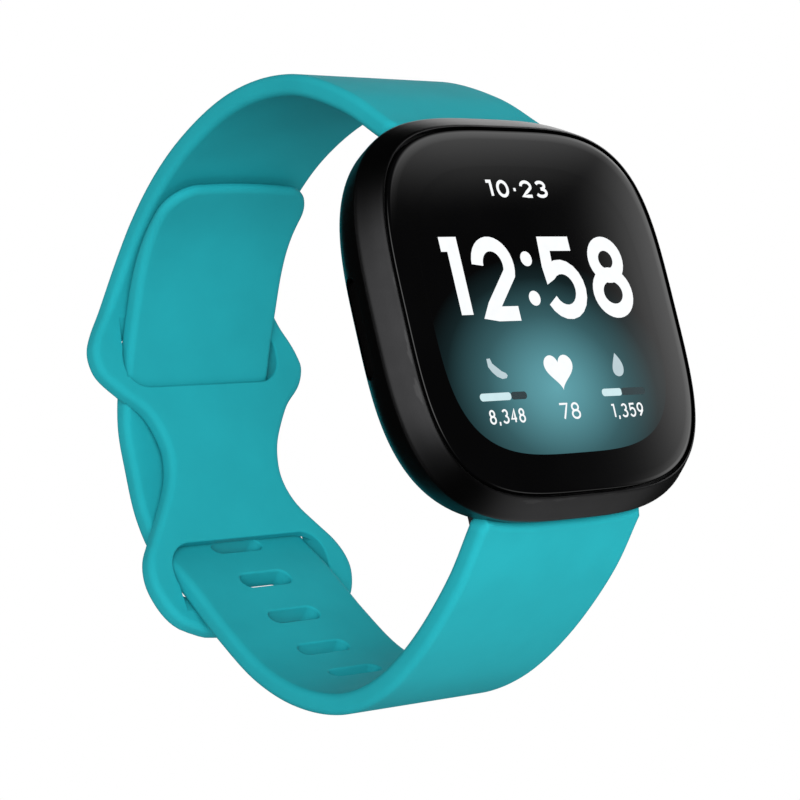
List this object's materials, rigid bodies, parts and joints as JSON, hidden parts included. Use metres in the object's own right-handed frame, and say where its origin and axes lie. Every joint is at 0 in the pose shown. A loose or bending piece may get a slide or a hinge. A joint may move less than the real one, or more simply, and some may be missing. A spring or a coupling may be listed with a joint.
{
  "type": "fitness tracker band",
  "caption": "Rounded-square wrist tracker with a domed touch screen, side key and a soft strap looped through its own two slots and pegged.",
  "frame": {"origin": "centre of the flat sensor window that rests on the wrist", "axes": "+Y from the display towards the wrist, +Z towards 12 o'clock, +X towards 3 o'clock"},
  "size_m": [0.0406, 0.0591, 0.0649],
  "materials": {
    "anodised": "black anodised, satin",
    "key_anodised": "black anodised, satin",
    "cover_glass": "polished, dark",
    "sensor_glass": "polished, dark",
    "screen": "lit screen",
    "black_seal": "matte",
    "flex": "polyimide film",
    "polymer": "matte moulded",
    "back_polymer": "satin moulded",
    "board": "solder mask",
    "steel": "satin",
    "cell_foil": "laminated foil",
    "gold": "gold plated",
    "led_green": "clear encapsulant",
    "diode": "polished silicon",
    "silicone": "soft matte",
    "peg_metal": "satin",
    "latch_metal": "satin"
  },
  "bodies": {
    "case": {"case_frame": "anodised", "cover_glass": "cover_glass", "glass_gasket": "black_seal", "display_panel": "screen", "display_flex": "flex", "chassis": "polymer", "main_board": "board", "shield_can": "steel", "battery": "cell_foil", "motor_can": "steel", "motor_base": "steel", "back_cover": "back_polymer", "back_gasket": "black_seal", "sensor_window": "sensor_glass", "sensor_board": "board", "light_shield": "black_seal", "led_green_left": "led_green", "led_green_right": "led_green", "photodiode_top": "diode", "photodiode_bottom": "diode", "charge_contact_left": "gold", "charge_contact_right": "gold", "case_screw_1": "steel", "case_screw_2": "steel", "case_screw_3": "steel", "case_screw_4": "steel", "key_seal": "black_seal", "key_switch": "polymer", "strap_upper": "silicone", "strap_lower": "silicone", "clasp_peg": "peg_metal", "upper_connector": "steel", "upper_latch_spring": "steel", "lower_connector": "steel", "lower_latch_spring": "steel"},
    "key": {"side_key": "key_anodised"},
    "upper_latch": {"upper_latch": "latch_metal"},
    "lower_latch": {"lower_latch": "latch_metal"},
    "rotor": {"motor_rotor": "steel"}
  },
  "joints": [
    {"name": "key_press", "type": "slide", "parent": "case", "child": "key", "axis": [1, 0, 0], "range_m": [0, 0.0004], "stiffness_N_per_m": 3000, "springref_m": -0.0002},
    {"name": "upper_latch_press", "type": "slide", "parent": "case", "child": "upper_latch", "axis": [0, -1, 0], "range_m": [0, 0.0006], "stiffness_N_per_m": 2000, "springref_m": -0.0003, "deforming": ["upper_latch_spring"]},
    {"name": "lower_latch_press", "type": "slide", "parent": "case", "child": "lower_latch", "axis": [0, -1, 0], "range_m": [0, 0.0006], "stiffness_N_per_m": 2000, "springref_m": -0.0003, "deforming": ["lower_latch_spring"]},
    {"name": "motor_spin", "type": "hinge", "parent": "case", "child": "rotor", "pos_m": [0.0112, -0.006, 0], "axis": [0, 1, 0], "continuous": true}
  ]
}
